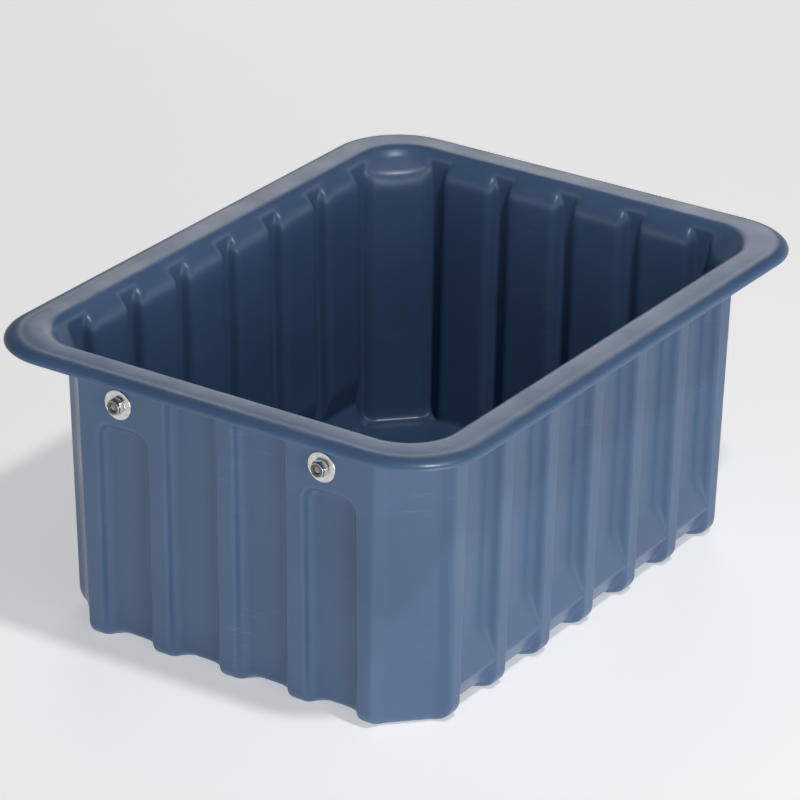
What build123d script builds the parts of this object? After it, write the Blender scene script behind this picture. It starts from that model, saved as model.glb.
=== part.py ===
"""Ribbed moulded tub with two through bolts in its front short wall.

Units mm. X runs along the short walls, Y from the bolted wall (-Y) to the back, Z up.
The origin is the centre of the footprint at the level the feet stand on.
"""
import os
from math import atan, degrees, sqrt

from build123d import *

# ---- tub, overall ---------------------------------------------------------------------
RIM_HALF = (220.0, 287.0)      # half width and half length over the rim
RIM_TOP = 257.0                # highest point of the tub
RIM_BOTTOM = 248.4             # lower edge of the turned-down lip
RIM_CORNER = 64.0              # corner radius of the rim in plan
RIM_EDGE = 7.5                 # rounding of the rim's outer top edge
RIM_MOUTH = 9.0                # rounding where the rim turns down into the tub
SKIN = 3.5                     # wall thickness
WALL_HALF = (186.6, 253.4)     # outer faces of the ribs at the top, half width and half length
WALL_CORNER = 42.0             # plan radius of the walls
DRAFT = 0.020                  # walls lean in by this much per mm of depth
FOOT_ROUND = 14.0              # rounding at the bottom of the walls
PAN = 5.0                      # underside of the floor is this far above the feet ...
PAN_IN = 26.0                  # ... and starts this far in from the rib faces
PAN_CORNER = 38.0              # plan radius of the raised underside's corners

# ---- recesses between the ribs --------------------------------------------------------
PITCH = 65.7                   # rib to rib, on all four walls
RECESS_W = 50.0                # width of a recess at the rib faces
RECESS_D = 10.0                # depth of a recess
RECESS_SIDE = 3.75             # a recess side leans in by this much over its depth
RECESS_TOP = 236.0             # top of a full-height recess
RECESS_TOP_LOW = 196.0         # top of the two recesses that stop below the bolts
RECESS_ROUND = 13.0            # corner radius at the top of a recess
SHORT_COUNT = 4                # recesses on each short wall
LONG_COUNT = 6                 # recesses on each long wall
APRON_TOP = 57.0               # long walls: the recess starts to slope out here ...
APRON_FOOT = 29.0              # ... and is level with the ribs here
CORNER_START = 45.0            # corner panel: distance of its rib edges from the wall planes
CORNER_FLAT = 40.0             # corner panel: distance of its 45 degree face's ends

# ---- hardware: 5/16 in bolts, 1 in flat washers, thin nylon-ring lock nuts -------------
BOLT_X = (-100.5, 93.5)
BOLT_Z = 217.0
BOLT_R = 3.9
HOLE_R = 4.4
WASHER_R, WASHER_T, WASHER_HOLE_R = 12.7, 1.6, 4.4
HEAD_AF, HEAD_H = 12.7, 5.3
NUT_AF, NUT_H = 12.7, 4.4
COLLAR_R, COLLAR_H = 6.1, 2.1
RING_R, RING_T, RING_BORE = 5.3, 1.6, 3.4
RING_BASE = NUT_H + COLLAR_H - RING_T - 0.2    # seat of the nylon ring in the nut
BOLT_OUT = WASHER_T + RING_BASE                # the bolt ends at the ring

TOP = RIM_TOP


def half(axis, z, inset=0.0):
    """Half size of the walls over the ribs at height z."""
    return WALL_HALF[axis] - DRAFT * (TOP - z) - inset


def tapered_box(inset, z0, z1, radius):
    """Solid rounded box between two heights that follows the lean of the walls."""
    with BuildPart() as bp:
        for z in (z0, z1):
            with BuildSketch(Plane.XY.offset(z)):
                shrink = DRAFT * (TOP - z)
                RectangleRounded(2 * half(0, z, inset), 2 * half(1, z, inset), radius - shrink)
        loft(ruled=True)
    return bp.part


INWARD = {"front": (0, 1), "back": (0, -1), "left": (1, 0), "right": (-1, 0)}


def wall_plane(side):
    """Plane on a wall's rib faces: local y runs up the wall, local z into the tub."""
    ix, iy = INWARD[side]
    foot = half(0 if ix else 1, 0)
    return Plane(origin=(-ix * foot, -iy * foot, 0), x_dir=(-iy, ix, 0), z_dir=(ix, iy, DRAFT))


def recess_profile(grow, apron):
    """Depth against height down a recess; grow moves it inwards by the skin."""
    deep = RECESS_D + grow
    if apron:
        face = [(deep, APRON_TOP), (grow, APRON_FOOT), (9 + grow, 10 + grow), (17 + grow, 6 + grow)]
    else:
        face = [(deep, 9 + grow), (deep + 2.5, 6 + grow)]
    return face + [(PAN_IN, PAN + grow)]


def recess(side, along, top, grow=0.0, apron=False):
    """One recess as a solid. grow=0 is the hollow, grow=SKIN its backing inside the tub."""
    plane = wall_plane(side)
    width = RECESS_W + 2 * grow
    height = top + 3 + grow
    face = 0.5 if grow else -0.01                     # start of the sloped sides, from the ribs
    with BuildPart() as bp:
        with BuildSketch(plane.offset(face)) as opening:
            with Locations((along, height / 2 - 3)):
                RectangleRounded(width, height, RECESS_ROUND + grow / 2)
            with Locations((along, height / 4 - 3)):
                Rectangle(width, height / 2)
        extrude(amount=PAN_IN, taper=degrees(atan(RECESS_SIDE / RECESS_D)))
        if not grow:
            extrude(to_extrude=opening.sketch, amount=-4)     # past the wall face
    deep = RECESS_D + grow
    bottom = PAN if grow else -6.0
    outline = [(-5, bottom), (-5, top + 10), (deep, top + 10)] + recess_profile(grow, apron)
    outline += [(PAN_IN, bottom)]
    edge_on = Plane(origin=plane.origin + plane.x_dir * (along - width), x_dir=plane.z_dir,
                    z_dir=-plane.x_dir)
    with BuildPart() as limit:
        with BuildSketch(edge_on):
            with BuildLine():
                Polyline(*outline, close=True)
            make_face()
        extrude(amount=-2 * width)
    return bp.part & limit.part


def corner_chain(z, inset):
    """Plan outline of a corner panel at height z for the +X -Y corner, moved inwards by inset."""
    x, y = half(0, z), half(1, z)
    far, near, deep = CORNER_START, CORNER_FLAT, RECESS_D
    slope = (far - near) / deep                       # lean of the panel's two sides
    shift = inset * sqrt(1 + slope ** 2)              # sideways move of a side, along the wall
    # the 45 degree face moves in by inset; its ends stay on the shifted sides
    total = near + deep + inset * sqrt(2)             # both distances from the walls add to this
    d = (total - far - shift) / (1 - slope)
    end = total - d
    return [(x - far - shift, -y), (x - end, -y + d), (x - d, -y + end), (x, -y + far + shift)]


def corner_panel(grow=0.0):
    """Solid for the +X -Y corner panel: the hollow outside it, or its backing when grown."""
    out = 6.0                                         # reach beyond the wall faces
    levels = ((-1.0, 5.0), (14.0, 0.0), (RECESS_TOP, 0.0))
    if grow:
        levels = ((PAN, grow + 2.0), (12.0, grow), (RECESS_TOP + grow, grow))
    with BuildPart() as bp:
        for z, inset in levels:
            x, y = half(0, z) + out, half(1, z) + out
            a, b, c, d = corner_chain(z, inset)
            with BuildSketch(Plane.XY.offset(z)):
                with BuildLine():
                    Polyline(a, b, c, d, (x, d[1]), (x, -y), (a[0], -y), close=True)
                make_face()
        loft(ruled=True)
    return bp.part


def four_corners(shape):
    """The shape in all four corners."""
    return [shape, mirror(shape, Plane.YZ), mirror(shape, Plane.XZ),
            mirror(mirror(shape, Plane.YZ), Plane.XZ)]


def recesses(grow):
    """All wall recesses as hollows (grow=0) or as their backings."""
    found = []
    for side, count in (("front", SHORT_COUNT), ("back", SHORT_COUNT),
                        ("left", LONG_COUNT), ("right", LONG_COUNT)):
        for i in range(count):
            along = (i - (count - 1) / 2) * PITCH
            low = side == "front" and i in (0, count - 1)
            top = RECESS_TOP_LOW if low else RECESS_TOP
            found.append(recess(side, along, top, grow, apron=count == LONG_COUNT))
    return found


def rim_plate(inset, z0, z1, rounding):
    """Slab in the outline of the rim with a rounded top outer edge."""
    with BuildPart() as bp:
        with BuildSketch(Plane.XY.offset(z0)):
            RectangleRounded(2 * (RIM_HALF[0] - inset), 2 * (RIM_HALF[1] - inset),
                             RIM_CORNER - inset)
        extrude(amount=z1 - z0)
        fillet(bp.faces().sort_by(Axis.Z)[-1].edges(), rounding)
    return bp.part


def make_tub():
    walls = tapered_box(0, 0, RIM_TOP, WALL_CORNER)
    walls = walls.fillet(FOOT_ROUND, walls.faces().sort_by(Axis.Z)[0].edges())
    lip = rim_plate(0, RIM_BOTTOM, RIM_TOP, RIM_EDGE)
    lip -= rim_plate(SKIN, RIM_BOTTOM - 1, RIM_TOP - SKIN, RIM_EDGE - SKIN)
    inside = tapered_box(SKIN, PAN + SKIN, RIM_TOP + 1, WALL_CORNER - SKIN)
    inside = inside.fillet(FOOT_ROUND - SKIN, inside.faces().sort_by(Axis.Z)[0].edges())
    tub = walls + lip - inside
    mouth = [e for e in tub.edges() if abs(e.center().Z - RIM_TOP) < 1e-3
             and abs(e.center().X) < half(0, RIM_TOP) and abs(e.center().Y) < half(1, RIM_TOP)]
    tub = tub.fillet(RIM_MOUTH, mouth)
    for backing in recesses(SKIN) + four_corners(corner_panel(SKIN)):
        tub += backing & walls
    for hollow in recesses(0) + four_corners(corner_panel()):
        tub -= hollow
    tub -= tapered_box(PAN_IN, -1, PAN, PAN_CORNER)
    for x in BOLT_X:
        tub -= on_bolt(x, Cylinder(HOLE_R, 20))
    return tub


def on_bolt(x, shape, out=0.0):
    """Place a shape made about Z on a bolt's axis; out is its distance outside the wall face."""
    plane = wall_plane("front")
    spot = plane.from_local_coords((-x, BOLT_Z, -out))
    return Plane(origin=spot, x_dir=(1, 0, 0), z_dir=-plane.z_dir) * shape


def tube(outer, inner, height):
    """Ring standing on its base at z=0."""
    ring = Cylinder(outer, height) - Cylinder(inner, height + 1)
    return Pos(0, 0, height / 2) * ring


def hexagon(flats, height):
    """Hexagonal prism standing on z=0 with its upper corners turned off."""
    with BuildPart() as bp:
        with BuildSketch():
            RegularPolygon(flats / 2, 6, major_radius=False)
        extrude(amount=height)
    cone = Cone(flats / 2 + height + 0.2, flats / 2 - 0.4, height + 0.6)
    return bp.part & (Pos(0, 0, (height + 0.6) / 2) * cone)


def make_hardware(x):
    """Bolt, two washers, lock nut and its nylon ring on one axis, in the wall's frame."""
    inner = -(SKIN + WASHER_T)                                  # face the bolt head bears on
    shank = Pos(0, 0, (inner + BOLT_OUT) / 2) * Cylinder(BOLT_R, BOLT_OUT - inner)
    shank = shank.chamfer(0.8, 0.8, shank.faces().sort_by(Axis.Z)[-1].edges())
    head = Pos(0, 0, inner) * Rot(180, 0, 0) * hexagon(HEAD_AF, HEAD_H)
    washer = tube(WASHER_R, WASHER_HOLE_R, WASHER_T)
    collar = Cylinder(COLLAR_R, COLLAR_H + 0.5)                 # starts inside the hexagon
    nut = hexagon(NUT_AF, NUT_H) + Pos(0, 0, NUT_H + COLLAR_H / 2 - 0.25) * collar
    nut -= Cylinder(BOLT_R, 40)
    nut -= Pos(0, 0, RING_BASE) * tube(RING_R, 0.5, NUT_H)
    ring = Pos(0, 0, RING_BASE) * tube(RING_R, RING_BORE, RING_T)
    return {
        "bolt": on_bolt(x, shank + head),
        "inner_washer": on_bolt(x, washer, inner),
        "outer_washer": on_bolt(x, washer),
        "lock_nut": on_bolt(x, nut, WASHER_T),
        "nut_insert": on_bolt(x, ring, WASHER_T),
    }


os.makedirs("parts", exist_ok=True)
export_step(make_tub(), "parts/tub.step")
for label, bolt_x in zip(("left", "right"), BOLT_X):
    for name, shape in make_hardware(bolt_x).items():
        export_step(shape, f"parts/{label}_{name}.step")
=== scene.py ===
"""Looks of the ribbed tub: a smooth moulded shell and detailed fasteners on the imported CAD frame.

Shapes are worked out in millimetres and made into meshes in metres.
"""

import math

import bmesh
import bpy
import numpy as np
from mathutils import Matrix, Vector


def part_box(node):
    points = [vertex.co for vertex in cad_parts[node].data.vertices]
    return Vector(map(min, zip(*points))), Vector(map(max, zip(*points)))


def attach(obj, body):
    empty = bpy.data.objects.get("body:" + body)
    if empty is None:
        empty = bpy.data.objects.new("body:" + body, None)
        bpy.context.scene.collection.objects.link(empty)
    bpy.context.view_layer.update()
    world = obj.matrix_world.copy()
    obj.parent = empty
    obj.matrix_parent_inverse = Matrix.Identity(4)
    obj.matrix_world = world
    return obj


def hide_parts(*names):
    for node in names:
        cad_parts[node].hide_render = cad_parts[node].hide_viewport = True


MM = 0.001
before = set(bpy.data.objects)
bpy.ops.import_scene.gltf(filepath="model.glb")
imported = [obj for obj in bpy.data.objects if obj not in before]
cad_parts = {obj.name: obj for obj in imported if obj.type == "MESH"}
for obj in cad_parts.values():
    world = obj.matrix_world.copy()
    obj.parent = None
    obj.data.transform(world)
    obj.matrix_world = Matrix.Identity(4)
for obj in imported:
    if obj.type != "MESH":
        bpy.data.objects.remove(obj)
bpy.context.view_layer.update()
_, tub_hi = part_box("tub")

# ---- tub: overall sizes come from the frame, the rest is drawn as in the CAD -------------
RIM_X, RIM_Y, RIM_TOP = (v / MM for v in tub_hi)
RIM_OUT = 33.4                 # rim overhang beyond the rib faces
RIM_BOTTOM = RIM_TOP - 8.6     # lower edge of the turned-down lip
LIP_ROUNDS = (3.0, 2.4, 1.2, 1.2)        # under the rim, inside the lip, the lip's two edges
LIP_HEIGHT = 1.4               # straight stretch up the outside of the lip
RIM_CORNER = 64.0
SHOULDER_OUT, SHOULDER_UP = 12.4, 6.9    # rounded outer shoulder of the rim
SHOULDER_RISE, SHOULDER_END = 0.9, 1.2   # where the shoulder starts and its crown begins
CREST_OUT, MOUTH_ROUND = 7.0, 9.5        # highest line of the rim, rounding into the tub
MOUTH_END = 216.0              # above this height the panels inside lean back into the rim
LEAN_ROUND = 22.0              # rounding where they start to lean
LEAN_CORNER, LEAN_LEAD = 20.0, 1.0       # rounding of their top corners, start above the lean
SKIN = 3.5
WALL_X, WALL_Y = RIM_X - RIM_OUT, RIM_Y - RIM_OUT
WALL_CORNER = 42.0
DRAFT = 0.020                  # walls lean in by this much per mm of depth
FOOT_ROUND = 14.0
PAN, PAN_IN = 5.0, 26.0        # raised underside and its distance from the rib faces
PAN_ROUND, PAN_START = 0.8, 2.5          # rounding of its edge, flat rim of it beyond the edge
PITCH = 65.7
RECESS_HALF, RECESS_D, RECESS_SIDE, RECESS_ROUND = 25.0, 10.0, 3.75, 13.0
RECESS_TOP, RECESS_TOP_LOW = 236.0, 196.0
EDGE_ROUND, VALLEY_ROUND = 3.0, 8.0      # rounding where a recess leaves the ribs and at its floor
# section up a recess as (depth, z), on the short walls and on the long ones with their apron
ABOVE = 300.0                  # the sections go on straight to here, above the rim
SHORT_SECTION = [(PAN_IN, PAN), (12.5, 6.0), (RECESS_D, 9.0), (RECESS_D, ABOVE)]
LONG_SECTION = [(PAN_IN, PAN), (17.0, 6.0), (9.0, 10.0), (0.0, 29.0), (RECESS_D, 57.0),
                (RECESS_D, ABOVE)]
SHORT_ROUNDS, LONG_ROUNDS = (4.0, 6.0), (3.0, 3.0, 1.2, 24.0)
FOOT_LEVEL = 25.0              # the sections' points below this rise with the tub's floor
CORNER_START, CORNER_FLAT = 45.0, 40.0
CORNER_EDGE, CORNER_EDGE_IN = 4.0, 0.8   # rounding beside a corner panel, outside and inside
CORNER_BEND, CORNER_TOP_ROUND = 9.0, 4.0     # its two other roundings
CORNER_SINK = 18.0             # the corner panel lies this far inside the round corner
CORNER_LEAD = 12.0             # straight wall next to a corner that belongs to the corner
CORNER_STEP = 2.6              # spacing of the points round a corner
CORNER_PAN = 3.0               # the raised underside's way from a corner's centre, and rounding
WALL_END = 242.0               # above this height the shell is all rim
GROW, GROW_OVER = 2.4, 5.0     # a recess is this much wider inside the tub, growing over this drop
RISE, EASE, INNER_ROUND = 9.0, 0.45, 8.0     # a low one's top is this much higher and gentler there
CORNER_RISE = 15.0             # the same for the corner panels
FOOT_EASE, FOOT_EASE_POWER = 0.2, 0.7    # a recess side's slope falls to this share round the foot
INNER_FOOT = PAN + FOOT_ROUND            # height where the inner wall goes over to its foot
# (from, to, step) up the outside and down the inside, with short steps where the shape bends
OUTER_HEIGHTS = ((FOOT_ROUND, 34, 1.6), (34, 80, 3.3), (80, 90, 2), (90, 180, 7.5),
                 (180, 204, 1.3), (204, 220, 4), (220, WALL_END, 1.3))
INNER_HEIGHTS = ((MOUTH_END, 206, 4.6), (206, 178, 1.6), (178, 66, 8), (66, INNER_FOOT, 2.1))
FLOOR_RINGS = (0.12, 0.45, 0.8)          # rings across the floor, as shares of the foot's first

# ---- hardware ----------------------------------------------------------------------------
BOLT_R, THREAD_PITCH, THREAD_DEPTH = 3.9, 1.41, 0.5
WASHER_R, WASHER_T, WASHER_HOLE_R = 12.7, 1.6, 4.4
HEAD_AF, HEAD_H = 12.7, 5.3
NUT_AF, NUT_H = 12.7, 4.4
COLLAR_R, COLLAR_H = 6.1, 2.1
RING_R, RING_T, RING_BORE = 5.3, 1.6, 3.4
RING_BASE = NUT_H + COLLAR_H - RING_T - 0.2    # seat of the nylon ring in the nut
BOLT_OUT = WASHER_T + RING_BASE                # the bolt ends at the ring
CHAMFER = 1.9                  # rise of a hexagon's turned corners, in radius per height
FLATS, THREAD = 9.0, 8.0       # in a turned profile these stand for the hexagon and the thread


# ---- curves ------------------------------------------------------------------------------
ARC_STEP = 0.26                # radians


def steps(a, b, spacing):
    """Points from a (left out) to b (kept) no further apart than spacing."""
    n = max(1, int(math.ceil(np.linalg.norm(b - a) / spacing)))
    return [a + (b - a) * k / n for k in range(1, n + 1)]


def rounded(corners, radii, spacing):
    """A polyline with its inner corners rounded, as points no further apart than spacing."""
    pts = [np.array(c, float) for c in corners]
    out = [pts[0]]
    for a, b, c, r in zip(pts, pts[1:], pts[2:], radii):
        u, v = (a - b) / np.linalg.norm(a - b), (c - b) / np.linalg.norm(c - b)
        half = math.acos(max(-1.0, min(1.0, float(u @ v)))) / 2
        start, stop = b + u * r / math.tan(half), b + v * r / math.tan(half)
        centre = b + (u + v) / np.linalg.norm(u + v) * (r / math.sin(half))
        out.extend(steps(out[-1], start, spacing))
        sweep = math.pi - 2 * half
        n = max(3, int(math.ceil(sweep / ARC_STEP)))
        for k in range(1, n + 1):
            t = sweep * k / n
            e0, e1 = (start - centre) * math.sin(sweep - t), (stop - centre) * math.sin(t)
            out.append(centre + (e0 + e1) / math.sin(sweep))
    out.extend(steps(out[-1], pts[-1], spacing))
    return np.array(out)


def lengths(path):
    """Distance along a path at each of its points, as fractions of the whole."""
    at = np.concatenate([[0], np.cumsum(np.linalg.norm(np.diff(path, axis=0), axis=1))])
    return at / at[-1]


def resample(path, fractions):
    """Points of a path at fractions of its length."""
    at = lengths(path)
    return np.stack([np.interp(fractions, at, path[:, k]) for k in range(path.shape[1])], axis=1)


def heights(*stretches):
    """Heights from (from, to, step) stretches laid end to end."""
    found = [stretches[0][0]]
    for start, stop, step in stretches:
        n = max(1, int(round(abs(stop - start) / step)))
        found += [start + (stop - start) * k / n for k in range(1, n + 1)]
    return found


# ---- recesses ----------------------------------------------------------------------------
WALLS = [(np.array([-oy, ox], float), np.array([ox, oy], float))
         for ox, oy in ((0, -1), (1, 0), (0, 1), (-1, 0))]      # along, outward
COUNTS = (4, 6, 4, 6)
STRAIGHT = [WALL_X - WALL_CORNER, WALL_Y - WALL_CORNER] * 2


def recess_places(wall):
    """(middle along the wall, top) of each recess."""
    count = COUNTS[wall]
    for i in range(count):
        low = wall == 0 and i in (0, count - 1)
        yield (i - (count - 1) / 2) * PITCH, RECESS_TOP_LOW if low else RECESS_TOP


def ramp(dist, depth, start_round=EDGE_ROUND):
    """Depth inside an outline: level, rounded, sloping, rounded, level."""
    lean = RECESS_SIDE / RECESS_D
    steep = math.atan(1 / lean)
    tan_half, sine = math.tan(steep / 2), math.sin(steep)
    limit = 0.5 * depth / sine / tan_half
    upper, lower = min(start_round, limit), min(VALLEY_ROUND, limit)     # the two radii
    begin, end = -upper * tan_half, depth * lean + lower * tan_half
    first = upper - np.sqrt(np.maximum(upper ** 2 - np.clip(dist - begin, 0, upper) ** 2, 0))
    last = depth - lower + np.sqrt(np.maximum(lower ** 2 - np.clip(end - dist, 0, lower) ** 2, 0))
    found = np.where(dist < begin + upper * sine, first, dist / lean)
    found = np.where(dist > end - lower * sine, last, found)
    found = np.where(dist <= begin, 0.0, np.where(dist >= end, depth, found))
    return np.clip(found, 0, depth)


def outline_distance(s, below_top, middle, radius):
    """Distance inside a recess outline: open below, with rounded top corners."""
    qx = np.abs(s - middle) - (RECESS_HALF - radius)
    qz = radius - below_top
    outside = np.hypot(np.maximum(qx, 0), np.maximum(qz, 0))
    return radius - outside - np.minimum(np.maximum(qx, qz), 0)


def sunk_share(wall, z, depth, inside, ease=1.0):
    """For every station of a wall, its share (0 to 1) of the recess depth at height z."""
    s = STATIONS[wall]
    share = np.zeros(len(s))
    if depth < 1e-6:
        return share
    for middle, top in recess_places(wall):
        if inside:
            below = (top + RISE - z) * EASE
            dist = outline_distance(s, below, middle, INNER_ROUND)
            dist += GROW * min(1.0, max(below, 0) / GROW_OVER)
        else:
            dist = outline_distance(s, top - z, middle, RECESS_ROUND)
        share = np.maximum(share, ramp(dist * ease, depth) / depth)
    return share


def lean_share(wall, below):
    """The same for the full-height panels' lean, at a depth below the line where it starts."""
    share = np.zeros(len(STATIONS[wall]))
    for middle, top in recess_places(wall):
        if top > MOUTH_END:
            dist = outline_distance(STATIONS[wall], below, middle, LEAN_CORNER) + GROW
            share = np.maximum(share, ramp(dist, RECESS_D) / RECESS_D)
    return share


def wall_stations(wall):
    """Places along a wall, close together over the sides of its recesses."""
    inside = (-4.4, -3.0, -1.8, -0.8, 0.2, 1.2, 2.2, 3.3, 4.8, 7.0, 9.6, 12.8)
    between = (-PITCH / 2, -6, 0, 6, PITCH / 2)
    end = STRAIGHT[wall] - CORNER_LEAD
    places = [-end, end]
    for middle, _ in recess_places(wall):
        places += [middle + side * (RECESS_HALF - d) for d in inside for side in (-1, 1)]
        places += [middle + d for d in between]
    return np.unique(np.round([p for p in places if abs(p) <= end], 3))


STATIONS = [wall_stations(k) for k in range(4)]


# ---- corners -----------------------------------------------------------------------------
def panel_line(radius, inset):
    """Plan line of a corner panel round the corner's centre: (along the wall, out from it)."""
    slope = (CORNER_START - CORNER_FLAT) / RECESS_D
    shift = inset * math.sqrt(1 + slope ** 2)
    total = CORNER_FLAT + RECESS_D + inset * math.sqrt(2)
    depth = (total - CORNER_START - shift) / (1 - slope)
    near = CORNER_START + shift - slope * inset - radius
    end, face, wall = total - depth - radius, radius - depth, radius - inset
    corners = [(-CORNER_LEAD, wall), (-near, wall), (-end, face), (face, -end), (wall, -near),
               (wall, -CORNER_LEAD)]
    edge = CORNER_EDGE_IN if inset else CORNER_EDGE
    return rounded(corners, (edge, CORNER_BEND, CORNER_BEND, edge), CORNER_STEP)


def arc_line(radius, leads):
    """Plan line of a round corner, with its two straight leads."""
    turn = np.linspace(0, math.pi / 2, 33)
    arc = np.stack([radius * np.sin(turn), radius * np.cos(turn)], axis=1)
    return np.concatenate([[(-leads[0], radius)], arc, [(radius, -leads[1])]])


def pan_line(radius):
    """Plan line of the raised underside's corner, cut off so that the foot keeps its width."""
    wall = radius - PAN_IN
    cut = CORNER_PAN * math.sqrt(2) - wall
    corners = [(-CORNER_LEAD, wall), (cut, wall), (wall, cut), (wall, -CORNER_LEAD)]
    return rounded(corners, (CORNER_PAN, CORNER_PAN), CORNER_STEP)


CORNER_AT = lengths(panel_line(WALL_CORNER - 2, 0.0))


# ---- the shell: rings round the perimeter, one for each step of the section ----------------
def ring(rib, sunk, share, corner=0.0, skin=0.0, foot=None):
    """One ring of points.

    rib is (offset out from the rib faces, z); sunk is the same in a recess, one for each wall,
    and share says how far each station is between the two. corner is 1 where the corners have
    their panels and 0 where they are round. foot is how far a corner has gone over to the
    raised underside's outline.
    """
    offset, z = rib
    lean = DRAFT * (RIM_TOP - z)
    base = WALL_CORNER - lean
    widen = max(offset, 0.0)
    growth = (RIM_CORNER - WALL_CORNER) / RIM_OUT
    full = [straight + widen * (1 - growth) for straight in STRAIGHT]
    rows = []
    for k, (along, out) in enumerate(WALLS):
        nxt = (k + 1) % 4
        stretch = [full[i] / STRAIGHT[i] for i in (k, nxt)]
        face = STRAIGHT[nxt] + WALL_CORNER
        sunk_offset, sunk_z = sunk[k]
        rib_at = face - lean + offset
        sunk_at = face - DRAFT * (RIM_TOP - sunk_z) + sunk_offset
        dist = rib_at + (sunk_at - rib_at) * share[k]
        spot = along * (STATIONS[k] * stretch[0])[:, None] + out * dist[:, None]
        rows.append(np.column_stack([spot, z + (sunk_z - z) * share[k]]))
        if foot is not None:
            line = resample(panel_line(base, skin), CORNER_AT)
            line += (resample(pan_line(base), CORNER_AT) - line) * foot
        else:
            radius = base + (widen * growth if offset > 0 else offset)
            line = resample(arc_line(radius, [CORNER_LEAD * f for f in stretch]), CORNER_AT)
            if corner > 0:
                line += (resample(panel_line(base, skin), CORNER_AT) - line) * corner
        spot = along * full[k] + out * full[nxt] + along * line[1:-1, :1] + out * line[1:-1, 1:]
        rows.append(np.column_stack([spot, np.full(len(spot), z)]))
    return np.concatenate(rows)


def sections(skin):
    """Recess sections (depth, z) of the four walls, moved in by the skin."""
    found = []
    for points, radii in ((SHORT_SECTION, SHORT_ROUNDS), (LONG_SECTION, LONG_ROUNDS)):
        moved = [(depth + (skin if i else 0), z + (skin if z < FOOT_LEVEL else 0))
                 for i, (depth, z) in enumerate(points)]
        found.append(rounded(moved, radii, 1.0))
    return found * 2


def wall_rings(zs, skin):
    """Rings over the walls' height, outside (skin 0) or inside."""
    found = []
    paths = sections(skin)
    for z in zs:
        depth = [float(np.interp(z, p[:, 1], p[:, 0])) - skin for p in paths]
        share = [sunk_share(k, z, depth[k], skin > 0) for k in range(4)]
        sunk = [(-skin - d, z) for d in depth]
        found.append(ring((-skin, z), sunk, share, corner_share(z, skin), skin))
    return found


def corner_share(z, skin):
    """How far the corners have their panels at height z, from 0 to 1."""
    below = (RECESS_TOP + CORNER_RISE - z) * EASE if skin else RECESS_TOP - z
    return float(ramp(np.array(below), CORNER_SINK, CORNER_TOP_ROUND)) / CORNER_SINK


def mouth_rings():
    """Rings from the crest of the rim into the tub; the panels lean back to meet the rim."""
    mouth = (MOUTH_ROUND - SKIN, RIM_TOP - MOUTH_ROUND)
    shared = quarter(mouth, MOUTH_ROUND, MOUTH_ROUND, 92, 132, 8)
    rib = quarter(mouth, MOUTH_ROUND, MOUTH_ROUND, 135, 180, 9)        # the lean starts at 135
    rib += [(-SKIN, z) for z in heights((mouth[1], MOUTH_END, 2.0))[1:]]
    face = -SKIN - RECESS_D
    bend = (face, rib[0][1] - (rib[0][0] - face))          # the lean is 45 degrees
    panel = rounded([rib[0], bend, (face, MOUTH_END)], (LEAN_ROUND,), 1.0)
    panel = np.concatenate([shared, resample(panel, lengths(np.array(rib)))])
    rib = np.array(shared + rib)
    made = []
    for a, b in zip(rib, panel):
        share = [lean_share(wall, LEAN_LEAD + rib[len(shared)][1] - a[1]) for wall in range(4)]
        made.append(ring(tuple(a), [tuple(b)] * 4, share, corner_share(a[1], SKIN), SKIN))
    return made


def foot_rings(rib_path, skin, split):
    """Rings of the foot: rib_path is (inset, z) from the floor out to the wall at height split."""
    found, depths, sunk_paths = [], [], []
    for path in sections(skin):
        low = path[path[:, 1] < split]
        depths.append(float(np.interp(split, path[:, 1], path[:, 0])))
        whole = np.concatenate([[(rib_path[0][0], low[0][1])], low, [(depths[-1], split)]])
        sunk_paths.append(resample(whole, lengths(rib_path)))
    for i, (inset, z) in enumerate(rib_path):
        sunk = [(-p[i][0], p[i][1]) for p in sunk_paths]
        gone = min(1.0, (inset - skin) / (FOOT_ROUND - skin)) ** FOOT_EASE_POWER
        ease = 1 - (1 - FOOT_EASE) * gone
        share = [sunk_share(k, split, depths[k] - skin, skin > 0, ease) for k in range(4)]
        foot = (inset - skin) / (PAN_IN - skin)
        found.append(ring((-inset, z), sunk, share, 1.0, skin, foot))
    return found


def quarter(centre, across, up, start, stop, count):
    """Points on an ellipse, angles in degrees from the outward direction."""
    turn = np.radians(np.linspace(start, stop, count))
    return [(centre[0] + across * math.cos(t), centre[1] + up * math.sin(t)) for t in turn]


def rim_section():
    """(offset, z) from the outer wall round the lip and over the rim to its crest."""
    under = RIM_TOP - SKIN
    lip = rounded([(0, WALL_END), (0, under), (RIM_OUT - SKIN, under), (RIM_OUT - SKIN, RIM_BOTTOM),
                   (RIM_OUT, RIM_BOTTOM), (RIM_OUT, RIM_BOTTOM + LIP_HEIGHT)], LIP_ROUNDS, 4.0)
    shoulder = (RIM_OUT - SHOULDER_OUT, RIM_BOTTOM + SHOULDER_RISE)
    top = quarter(shoulder, SHOULDER_OUT, SHOULDER_UP, 6, 88, 16)
    start = shoulder[0] - SHOULDER_END
    drop = RIM_TOP - (shoulder[1] + SHOULDER_UP) - 0.05
    for share in np.linspace(1, 0, 9):
        top.append((CREST_OUT + (start - CREST_OUT) * share, RIM_TOP - drop * share ** 2))
    return [tuple(p) for p in lip[1:]] + top


def foot_path(points, radii, radius):
    """(inset, z) along the underside or floor and up a quarter circle to the wall."""
    turn = np.radians(np.linspace(0, 90, 10))[1:]
    centre_in, level = points[-1]
    arc = np.stack([centre_in - radius * np.sin(turn), level + radius * (1 - np.cos(turn))], axis=1)
    return np.concatenate([rounded(points, radii, 2.5), arc])


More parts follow.
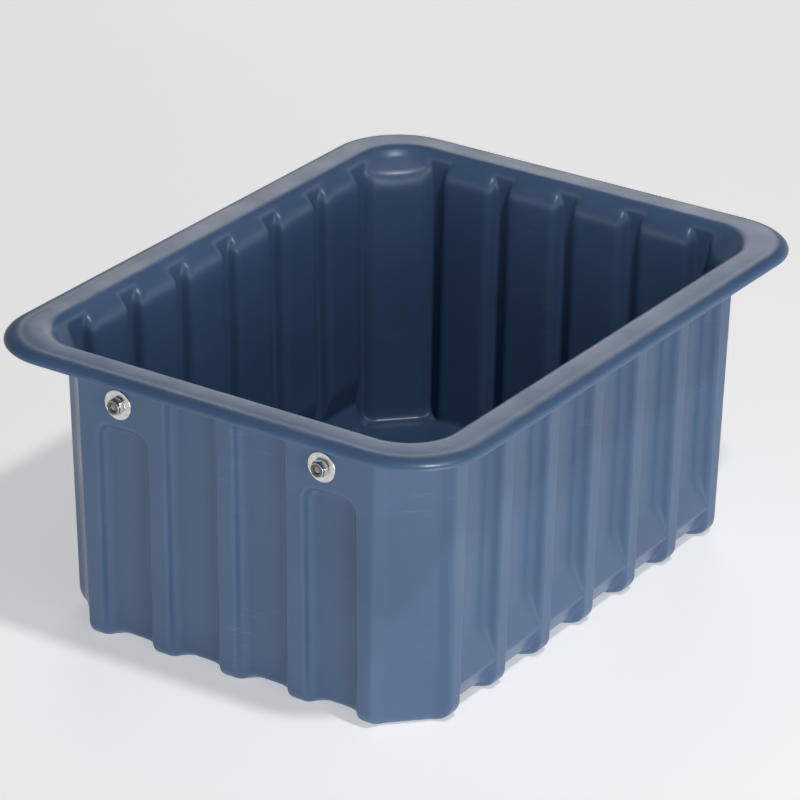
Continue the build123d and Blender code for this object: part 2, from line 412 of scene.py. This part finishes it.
def tub_shell():
    """Vertices and faces of the whole tub, in millimetres."""
    start, floor = PAN_IN + PAN_START, PAN + SKIN
    outer = [(start, PAN), (PAN_IN, PAN), (PAN_IN, 0), (FOOT_ROUND, 0)]
    inner = [(start, floor), (FOOT_ROUND, floor)]
    rings = foot_rings(foot_path(outer, (PAN_ROUND, PAN_ROUND), FOOT_ROUND), 0.0, FOOT_ROUND)
    rings = [rings[0] * (share, share, 1) for share in FLOOR_RINGS] + rings
    rings += wall_rings(heights(*OUTER_HEIGHTS)[1:], 0.0)
    flat = [np.zeros(len(s)) for s in STATIONS]
    rings += [ring(p, [p] * 4, flat) for p in rim_section()]
    rings += mouth_rings()
    rings += wall_rings(heights(*INNER_HEIGHTS)[1:-1], SKIN)
    rings += foot_rings(foot_path(inner, (), FOOT_ROUND - SKIN), SKIN, INNER_FOOT)[::-1]
    rings += [rings[-1] * (share, share, 1) for share in FLOOR_RINGS[::-1]]
    n, count = len(rings[0]), len(rings)
    verts = [tuple(v) for v in np.concatenate(rings)]
    faces = [(i * n + j, i * n + (j + 1) % n, (i + 1) * n + (j + 1) % n, (i + 1) * n + j)
             for i in range(count - 1) for j in range(n)]
    for first, z in ((0, PAN), ((count - 1) * n, floor)):
        verts.append((0.0, 0.0, z))
        faces += [(first + j, first + (j + 1) % n, len(verts) - 1) for j in range(n)]
    return verts, faces


def new_mesh(name, verts, faces, material, place=None):
    """Smooth mesh object, from vertices in millimetres, with its faces turned outwards."""
    bm = bmesh.new()
    made = [bm.verts.new(Vector(v) * MM) for v in verts]
    for face in faces:
        bm.faces.new([made[i] for i in face])
    bmesh.ops.recalc_face_normals(bm, faces=bm.faces)
    mesh = bpy.data.meshes.new(name)
    bm.to_mesh(mesh)
    bm.free()
    mesh.materials.append(material)
    mesh.shade_smooth()
    obj = bpy.data.objects.new(name, mesh)
    bpy.context.scene.collection.objects.link(obj)
    if place is not None:
        mesh.transform(place)
    return obj


# ---- hardware, made about Z with z=0 on the wall face and +Z out of the wall -----------------
def spun(profile, segments=72, shape=None, closed=True):
    """A turned form. shape(radius, height, angle) may change a radius, for flats or threads."""
    verts, faces = [], []
    n = len(profile)
    for r, h in profile:
        for j in range(segments):
            a = 2 * math.pi * j / segments
            q = shape(r, h, a) if shape else r
            verts.append((q * math.cos(a), q * math.sin(a), h))
    for i in range(n if closed else n - 1):
        for j in range(segments):
            a, b = i * segments, (i + 1) % n * segments
            k = (j + 1) % segments
            faces.append((a + j, a + k, b + k, b + j))
    if not closed:
        for first, h in ((0, profile[0][1]), ((n - 1) * segments, profile[-1][1])):
            verts.append((0.0, 0.0, h))
            faces += [(first + j, first + (j + 1) % segments, len(verts) - 1)
                      for j in range(segments)]
    return verts, faces


def hexagon_radius(flats, a):
    """Distance to a hexagon's side, with its corners slightly rounded."""
    turn = (a + math.pi / 6) % (math.pi / 3) - math.pi / 6
    return min(flats / 2 / math.cos(turn), flats / math.sqrt(3) - 0.12)


def washer():
    """Flat washer with broken edges, rolled at the top outside."""
    edge, top, roll = 0.25, WASHER_T, 0.5
    return spun([(WASHER_HOLE_R, edge), (WASHER_HOLE_R + edge, 0), (WASHER_R - edge, 0),
                 (WASHER_R, edge), (WASHER_R, top - roll), (WASHER_R - 0.15, top - 0.18),
                 (WASHER_R - roll, top), (WASHER_HOLE_R + edge, top), (WASHER_HOLE_R, top - edge)],
                96)


def lock_nut():
    """Thin nut with a round collar that holds the nylon ring."""
    top = NUT_H + COLLAR_H
    sides = [(FLATS, h) for h in heights((0.0, 1.6, 0.2), (1.6, NUT_H - 1.6, 0.9),
                                         (NUT_H - 1.6, NUT_H, 0.2))]
    collar = [(COLLAR_R + 0.2, NUT_H), (COLLAR_R, NUT_H + 0.25), (COLLAR_R, top - 0.6),
              (COLLAR_R - 0.05, top - 0.3), (COLLAR_R - 0.2, top - 0.1), (COLLAR_R - 0.4, top),
              (RING_R + 0.15, top - 0.05), (RING_R, top - 0.2)]
    bore = [(RING_R, RING_BASE), (BOLT_R, RING_BASE), (BOLT_R, 0.4), (BOLT_R + 0.4, 0.0)]

    def form(r, h, a):
        if r != FLATS:
            return r
        turned = NUT_AF / 2 - 0.15 + CHAMFER * min(h + 0.1, NUT_H - h)
        return min(hexagon_radius(NUT_AF, a), turned)

    return spun(sides + collar + bore, 96, form)


def nut_insert():
    """Nylon ring with a rounded lip round its bore."""
    low, high = RING_BASE, RING_BASE + RING_T
    return spun([(RING_BORE, low), (RING_R, low), (RING_R, high - 0.4), (RING_R - 0.2, high - 0.5),
                 (RING_BORE + 0.9, high - 0.1), (RING_BORE + 0.5, high),
                 (RING_BORE + 0.15, high - 0.1), (RING_BORE, high - 0.4)], 72)


def bolt():
    """Head, shank and the threaded end inside the nut."""
    under = -(SKIN + WASHER_T)
    back = under - HEAD_H
    head = [(0.6, back), (4.6, back + 0.05)]
    head += [(FLATS, h) for h in heights((back + 0.1, back + 1.6, 0.2), (back + 1.6, under, 0.9))]
    shank = [(BOLT_R, under), (BOLT_R, 0.0)]
    thread = [(THREAD, h) for h in heights((0.4, BOLT_OUT, THREAD_PITCH / 9))]
    end = [(2.6, BOLT_OUT), (2.2, BOLT_OUT - 0.35), (1.0, BOLT_OUT - 0.5)]

    def form(r, h, a):
        if r == FLATS:
            return min(hexagon_radius(HEAD_AF, a), HEAD_AF / 2 - 0.3 + CHAMFER * (h - back))
        if r == THREAD:
            wave = (h / THREAD_PITCH - a / (2 * math.pi)) % 1.0
            tooth = THREAD_DEPTH * min(1.0, max(0.0, 2.6 * abs(wave - 0.5) - 0.15))
            return min(BOLT_R - tooth, BOLT_R - 0.9 + (BOLT_OUT - h) * 0.9)
        return r

    return spun(head + shank + thread + end, 72, form, closed=False)


# ---- materials -----------------------------------------------------------------------------
class Nodes:
    """Short hand for building one material's nodes."""

    def __init__(self, name):
        self.material = bpy.data.materials.new(name)
        self.material.use_nodes = True
        self.tree = self.material.node_tree
        self.shader = self.tree.nodes["Principled BSDF"]
        self.place = self.add("ShaderNodeTexCoord").outputs["Object"]

    def add(self, kind, **values):
        node = self.tree.nodes.new(kind)
        for key, value in values.items():
            setattr(node, key, value)
        return node

    def link(self, a, b):
        self.tree.links.new(a, b)

    def noise(self, scale, detail=3.0, stretch=(1, 1, 1), turn=(0, 0, 0), roughness=0.5):
        """Noise in the object's own coordinates; scale is in waves per metre."""
        mapping = self.add("ShaderNodeMapping")
        mapping.inputs["Scale"].default_value = stretch
        mapping.inputs["Rotation"].default_value = turn
        noise = self.add("ShaderNodeTexNoise")
        noise.inputs["Scale"].default_value = scale
        noise.inputs["Detail"].default_value = detail
        noise.inputs["Roughness"].default_value = roughness
        self.link(self.place, mapping.inputs["Vector"])
        self.link(mapping.outputs["Vector"], noise.inputs["Vector"])
        return noise.outputs["Fac"]

    def spread(self, value, low, high, to_low=0.0, to_high=1.0):
        """A value's range from low to high spread over to_low to to_high, and cut off there."""
        node = self.add("ShaderNodeMapRange")
        for key, number in (("From Min", low), ("From Max", high), ("To Min", to_low),
                            ("To Max", to_high)):
            node.inputs[key].default_value = number
        self.link(value, node.inputs["Value"])
        return node.outputs["Result"]

    def mix(self, factor, a, b):
        """Colour between a and b; each is a colour or a socket."""
        node = self.add("ShaderNodeMix", data_type="RGBA")
        self.link(factor, node.inputs["Factor"])
        for value, socket in ((a, node.inputs["A"]), (b, node.inputs["B"])):
            if isinstance(value, tuple):
                socket.default_value = (*value, 1.0)
            else:
                self.link(value, socket)
        return node.outputs["Result"]

    def math(self, operation, a, b):
        node = self.add("ShaderNodeMath", operation=operation)
        for value, socket in zip((a, b), node.inputs):
            if isinstance(value, (int, float)):
                socket.default_value = value
            else:
                self.link(value, socket)
        return node.outputs["Value"]

    def bump(self, height, distance, under=None):
        node = self.add("ShaderNodeBump")
        node.inputs["Distance"].default_value = distance
        self.link(height, node.inputs["Height"])
        if under is not None:
            self.link(under, node.inputs["Normal"])
        return node.outputs["Normal"]


def plastic():
    """Satin blue polyethylene: faint mottling, a fine moulded skin and light scuffs."""
    m = Nodes("blue_polyethylene")
    mottle = m.spread(m.noise(9.0, 4.0), 0.35, 0.65)
    fine = m.noise(420.0, 3.0)
    colour = m.mix(mottle, (0.056, 0.108, 0.212), (0.067, 0.125, 0.240))
    scuffs = None
    for turn, scale in (((0.3, 0.2, 0.5), 38.0), ((1.2, 0.7, -0.6), 47.0)):
        lines = m.spread(m.noise(scale, 2.0, (1.0, 1.0, 14.0), turn), 0.64, 0.74)
        scuffs = lines if scuffs is None else m.math("MAXIMUM", scuffs, lines)
    patch = m.spread(m.noise(13.0, 2.0), 0.5, 0.66)
    scuffs = m.math("MULTIPLY", scuffs, patch)
    colour = m.mix(m.math("MULTIPLY", scuffs, 0.30), colour, (0.17, 0.22, 0.31))
    m.link(colour, m.shader.inputs["Base Color"])
    satin = m.spread(m.noise(26.0, 4.0), 0.3, 0.7, 0.28, 0.38)
    m.link(m.math("ADD", satin, m.math("MULTIPLY", scuffs, 0.12)), m.shader.inputs["Roughness"])
    wave = m.bump(m.noise(34.0, 2.0), 0.0005)
    skin = m.bump(fine, 0.00005, wave)
    m.link(m.bump(scuffs, 0.00003, skin), m.shader.inputs["Normal"])
    m.shader.inputs["IOR"].default_value = 1.5
    return m.material


def zinc(name, shade, smooth, dull):
    """Zinc plating with fine tool marks; shade darkens it, its roughness is smooth to dull."""
    m = Nodes(name)
    cloud = m.spread(m.noise(260.0, 3.0), 0.35, 0.65)
    dark, bright = (tuple(v * shade for v in colour)
                    for colour in ((0.60, 0.61, 0.62), (0.78, 0.78, 0.77)))
    m.link(m.mix(cloud, dark, bright), m.shader.inputs["Base Color"])
    m.shader.inputs["Metallic"].default_value = 1.0
    m.link(m.spread(m.noise(900.0, 4.0), 0.3, 0.7, smooth, dull), m.shader.inputs["Roughness"])
    m.link(m.bump(m.noise(1800.0, 3.0, (1.0, 6.0, 1.0)), 0.00002), m.shader.inputs["Normal"])
    return m.material


def nylon():
    """Dark nylon of the nut's locking ring."""
    m = Nodes("nylon_ring")
    cloud = m.spread(m.noise(700.0, 3.0), 0.35, 0.65)
    m.link(m.mix(cloud, (0.09, 0.09, 0.07), (0.14, 0.14, 0.105)), m.shader.inputs["Base Color"])
    m.link(m.spread(m.noise(1500.0, 2.0), 0.3, 0.7, 0.38, 0.5), m.shader.inputs["Roughness"])
    m.link(m.bump(m.noise(2600.0, 2.0), 0.00001), m.shader.inputs["Normal"])
    return m.material


def pale_floor():
    """White table top, lit a little from inside."""
    m = Nodes("pale_floor")
    cloud = m.spread(m.noise(3.0, 2.0), 0.3, 0.7)
    m.link(m.mix(cloud, (0.86, 0.86, 0.86), (0.88, 0.88, 0.88)), m.shader.inputs["Base Color"])
    m.shader.inputs["Roughness"].default_value = 0.9
    m.shader.inputs["Emission Color"].default_value = (1.0, 1.0, 1.0, 1.0)
    m.shader.inputs["Emission Strength"].default_value = 0.40
    return m.material


# ---- build ---------------------------------------------------------------------------------
tub = new_mesh("tub_shell", *tub_shell(), plastic())
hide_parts("tub")
pieces = [tub]

flat_zinc = zinc("zinc_washer", 1.0, 0.22, 0.42)
nut_zinc = zinc("zinc_nut", 0.9, 0.07, 0.17)
# painted shade: the bolt's zinc is a darker copy of the same plating, so the bolt end sunk inside
# the nut reads dark
shaded_bolt_zinc = zinc("zinc_bolt_painted_shade", 0.42, 0.18, 0.34)
nylon_ring = nylon()
outward = Vector((0, -1, -DRAFT)).normalized()
up_wall = Vector((0, -DRAFT, 1)).normalized()
for side, nut_turn in (("left", 12.0), ("right", 41.0)):          # degrees
    low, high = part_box(f"{side}_outer_washer")
    wall_point = (low + high) / 2 - outward * (WASHER_T / 2 * MM)
    axes = Matrix((Vector((1, 0, 0)), up_wall, outward)).transposed().to_4x4()
    for name, form, out, turn, material, slot in (
            ("outer_washer", washer(), 0.0, 0, flat_zinc, "plated_steel"),
            ("inner_washer", washer(), -SKIN - WASHER_T, 0, flat_zinc, "plated_steel"),
            ("lock_nut", lock_nut(), WASHER_T, nut_turn, nut_zinc, "plated_steel"),
            ("nut_insert", nut_insert(), WASHER_T, 0, nylon_ring, "nylon"),
            ("bolt", bolt(), 0.0, nut_turn + 15, shaded_bolt_zinc, "plated_steel")):
        place = (Matrix.Translation(wall_point + outward * (out * MM)) @ axes
                 @ Matrix.Rotation(math.radians(turn), 4, "Z"))
        piece = new_mesh(f"{side}_{name}_detail", *form, material, place)
        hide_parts(f"{side}_{name}")
        pieces.append(piece)
for piece in pieces:
    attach(piece, "root")

# ---- floor, light and camera, in metres except where a mesh is made ----------------------------
FLOOR_HALF, FLOOR_Z = 6000.0, -0.2       # half its width; it lies just under the feet
floor = new_mesh("floor", [(x * FLOOR_HALF, y * FLOOR_HALF, FLOOR_Z) for x, y in
                           ((-1, -1), (1, -1), (1, 1), (-1, 1))], [(0, 1, 2, 3)], pale_floor())

world = bpy.data.worlds.new("studio")
world.use_nodes = True
tree = world.node_tree
direction = tree.nodes.new("ShaderNodeTexCoord").outputs["Generated"]
split = tree.nodes.new("ShaderNodeSeparateXYZ")
tree.links.new(direction, split.inputs["Vector"])
sky = tree.nodes.new("ShaderNodeValToRGB")       # bright near the horizon, dark overhead
sky.color_ramp.interpolation = "EASE"
for element, (place, grey) in zip(sky.color_ramp.elements, ((0.20, 1.0), (0.46, 0.03))):
    element.position = place
    element.color = (grey, grey, grey, 1)
tree.links.new(split.outputs["Z"], sky.inputs["Fac"])
tree.links.new(sky.outputs["Color"], tree.nodes["Background"].inputs["Color"])
across = tree.nodes.new("ShaderNodeVectorMath")
across.operation = "DOT_PRODUCT"
across.inputs[1].default_value = (0.8, -0.6, 0.0)      # the brighter side of the studio
tree.links.new(direction, across.inputs[0])
strength = tree.nodes.new("ShaderNodeMapRange")
for key, number in (("From Min", -1.0), ("From Max", 0.5), ("To Min", 0.28), ("To Max", 1.25)):
    strength.inputs[key].default_value = number
tree.links.new(across.outputs["Value"], strength.inputs["Value"])
tree.links.new(strength.outputs["Result"], tree.nodes["Background"].inputs["Strength"])
bpy.context.scene.world = world

LIT_POINT = Vector((0, 0, 0.12))


def soft_light(name, spot, size, power, tint=(1, 1, 1)):
    """Area light turned to the middle of the tub; size is (width, height)."""
    light = bpy.data.lights.new(name, "AREA")
    light.shape = "RECTANGLE"
    (light.size, light.size_y), light.energy, light.color = size, power, tint
    obj = bpy.data.objects.new(name, light)
    obj.location = spot
    obj.rotation_euler = (LIT_POINT - Vector(spot)).to_track_quat("-Z", "Y").to_euler()
    bpy.context.scene.collection.objects.link(obj)


soft_light("key", (1.0, -0.4, 2.1), (0.16, 0.16), 19.0)
soft_light("back", (-1.6, 2.6, 1.7), (1.8, 1.8), 18.0)
soft_light("side", (3.6, -1.8, 0.34), (1.9, 0.56), 58.0, (1.0, 0.93, 0.80))

LENS, SENSOR = 206.5, 36.0               # millimetres
YAW, PITCH_DOWN, ROLL = (math.radians(a) for a in (33.62, 24.89, -0.706))
CAMERA_AT = Vector((1.8838, -2.8395, 1.7331))
ahead = Vector((-math.sin(YAW) * math.cos(PITCH_DOWN), math.cos(YAW) * math.cos(PITCH_DOWN),
                -math.sin(PITCH_DOWN)))
level = Vector((math.cos(YAW), math.sin(YAW), 0))
down = ahead.cross(level)
right = level * math.cos(ROLL) + down * math.sin(ROLL)
below = down * math.cos(ROLL) - level * math.sin(ROLL)
camera = bpy.data.objects.new("camera", bpy.data.cameras.new("camera"))
camera.data.lens, camera.data.sensor_width, camera.data.clip_end = LENS, SENSOR, 50.0
camera.matrix_world = Matrix.Translation(CAMERA_AT) @ Matrix(
    (right, -below, -ahead)).transposed().to_4x4()
bpy.context.scene.collection.objects.link(camera)
bpy.context.scene.camera = camera
bpy.context.scene.view_settings.view_transform = "Standard"
